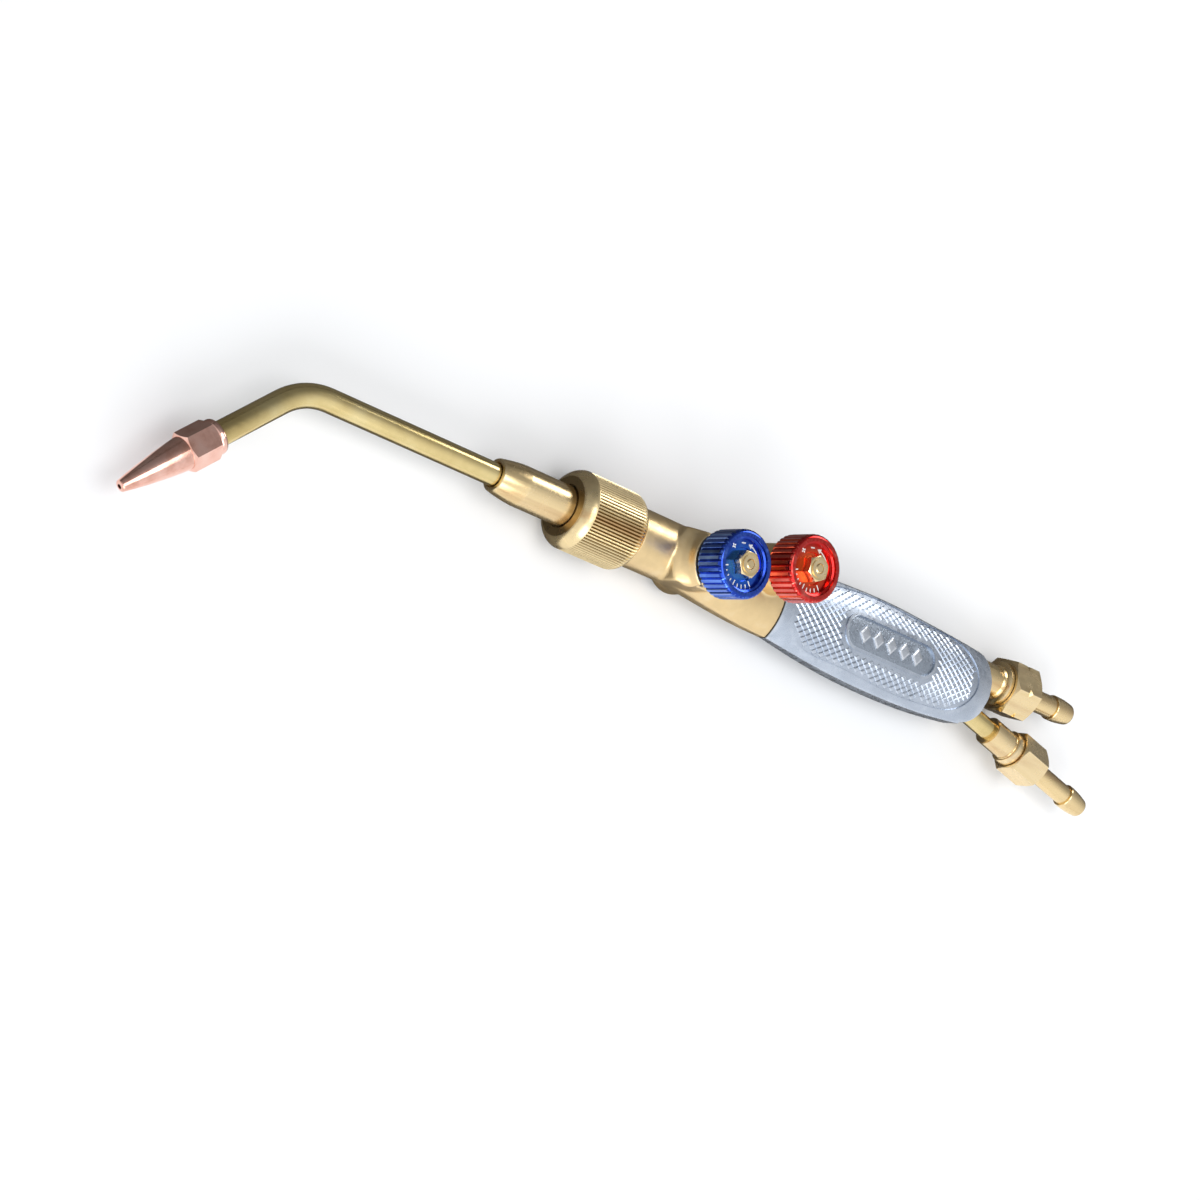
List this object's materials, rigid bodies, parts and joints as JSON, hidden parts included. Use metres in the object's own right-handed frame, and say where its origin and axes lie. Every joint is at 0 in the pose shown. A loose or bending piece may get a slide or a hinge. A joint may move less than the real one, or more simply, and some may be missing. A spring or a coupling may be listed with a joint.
{
  "type": "lampwork torch",
  "caption": "Hand torch for lampwork: bent neck with copper tip, knurled union nut, brass valve body with blue and red knobs, flat oval grip and barbed hose ends.",
  "frame": {"origin": "middle of the underside of the torch's bounding box as it lies with its knobs up", "axes": "+X along the torch's long axis towards the flame tip, +Z along the valve spindles towards the knobs, +Y the side the neck bends to"},
  "size_m": [0.4836, 0.0788, 0.051],
  "materials": {
    "forged_brass": "satin, forged and polished",
    "turned_brass": "machined, semi-bright",
    "drawn_brass": "drawn tube, bright",
    "copper": "polished copper",
    "cast_aluminium": "cast, vibratory polished",
    "blue_anodised": "anodised, glossy",
    "red_anodised": "anodised, glossy",
    "steel": "turned stainless steel",
    "rubber": "nitrile",
    "ptfe": "white PTFE"
  },
  "bodies": {
    "torch_body": {"valve_body": "forged_brass", "handle_shell": "cast_aluminium", "handle_screw": "steel", "fuel_tube": "drawn_brass", "oxygen_tube": "drawn_brass", "fuel_connector": "turned_brass", "oxygen_connector": "turned_brass", "fuel_packing": "ptfe", "fuel_gland_nut": "turned_brass", "oxygen_packing": "ptfe", "oxygen_gland_nut": "turned_brass"},
    "draw_ring": {"retaining_ring": "steel"},
    "neck": {"mixer_sleeve": "turned_brass", "injector": "turned_brass", "mixer_o_ring": "rubber", "injector_o_ring": "rubber", "neck_tube": "drawn_brass", "flame_tip": "copper"},
    "union_nut": {"union_nut": "turned_brass"},
    "oxygen_needle": {"oxygen_needle": "steel"},
    "oxygen_control": {"oxygen_spindle": "turned_brass", "oxygen_knob": "blue_anodised", "oxygen_knob_nut": "turned_brass"},
    "fuel_needle": {"fuel_needle": "steel"},
    "fuel_control": {"fuel_spindle": "turned_brass", "fuel_knob": "red_anodised", "fuel_knob_nut": "turned_brass"},
    "oxygen_tail": {"oxygen_hose_tail": "turned_brass"},
    "oxygen_hose_nut": {"oxygen_hose_nut": "turned_brass"},
    "fuel_tail": {"fuel_hose_tail": "turned_brass"},
    "fuel_hose_nut": {"fuel_hose_nut": "turned_brass"}
  },
  "joints": [
    {"name": "union_travel", "type": "slide", "parent": "torch_body", "child": "draw_ring", "axis": [1, 0, 0], "range_m": [0, 0.00901]},
    {"name": "union_turn", "type": "hinge", "parent": "draw_ring", "child": "union_nut", "pos_m": [0.00044, -0.0176, 0.0154], "axis": [1, 0, 0], "range_deg": [0, 2160]},
    {"name": "neck_swivel", "type": "hinge", "parent": "draw_ring", "child": "neck", "pos_m": [0.00044, -0.0176, 0.0154], "axis": [1, 0, 0], "continuous": true},
    {"name": "oxygen_needle_lift", "type": "slide", "parent": "torch_body", "child": "oxygen_needle", "axis": [0, 0, 1], "range_m": [0, 0.00201]},
    {"name": "oxygen_knob_turn", "type": "hinge", "parent": "oxygen_needle", "child": "oxygen_control", "pos_m": [0.00044, -0.0165, 0.0349], "axis": [0, 0, 1], "range_deg": [0, 900]},
    {"name": "fuel_needle_lift", "type": "slide", "parent": "torch_body", "child": "fuel_needle", "axis": [0, 0, 1], "range_m": [0, 0.00201]},
    {"name": "fuel_knob_turn", "type": "hinge", "parent": "fuel_needle", "child": "fuel_control", "pos_m": [-0.03336, -0.0262, 0.0349], "axis": [0, 0, 1], "range_deg": [0, 900]},
    {"name": "oxygen_tail_travel", "type": "slide", "parent": "torch_body", "child": "oxygen_tail", "axis": [-0.9715, 0.2368, 0], "range_m": [0, 0.00736]},
    {"name": "oxygen_hose_nut_turn", "type": "hinge", "parent": "oxygen_tail", "child": "oxygen_hose_nut", "pos_m": [-0.1927, -0.00014, 0.0154], "axis": [-0.9715, 0.2368, 0], "range_deg": [0, 1980]},
    {"name": "fuel_tail_travel", "type": "slide", "parent": "torch_body", "child": "fuel_tail", "axis": [-1, 0, 0], "range_m": [0, 0.00803]},
    {"name": "fuel_hose_nut_turn", "type": "hinge", "parent": "fuel_tail", "child": "fuel_hose_nut", "pos_m": [-0.17646, -0.0242, 0.0154], "axis": [1, 0, 0], "range_deg": [0, 2160]}
  ],
  "couplings": [
    {"joint": "union_travel", "follows": "union_turn", "m_per_rad": 0.00023873},
    {"joint": "oxygen_needle_lift", "follows": "oxygen_knob_turn", "m_per_rad": 0.00012732},
    {"joint": "fuel_needle_lift", "follows": "fuel_knob_turn", "m_per_rad": 0.00012732},
    {"joint": "oxygen_tail_travel", "follows": "oxygen_hose_nut_turn", "m_per_rad": 0.00021279},
    {"joint": "fuel_tail_travel", "follows": "fuel_hose_nut_turn", "m_per_rad": 0.00021279}
  ]
}
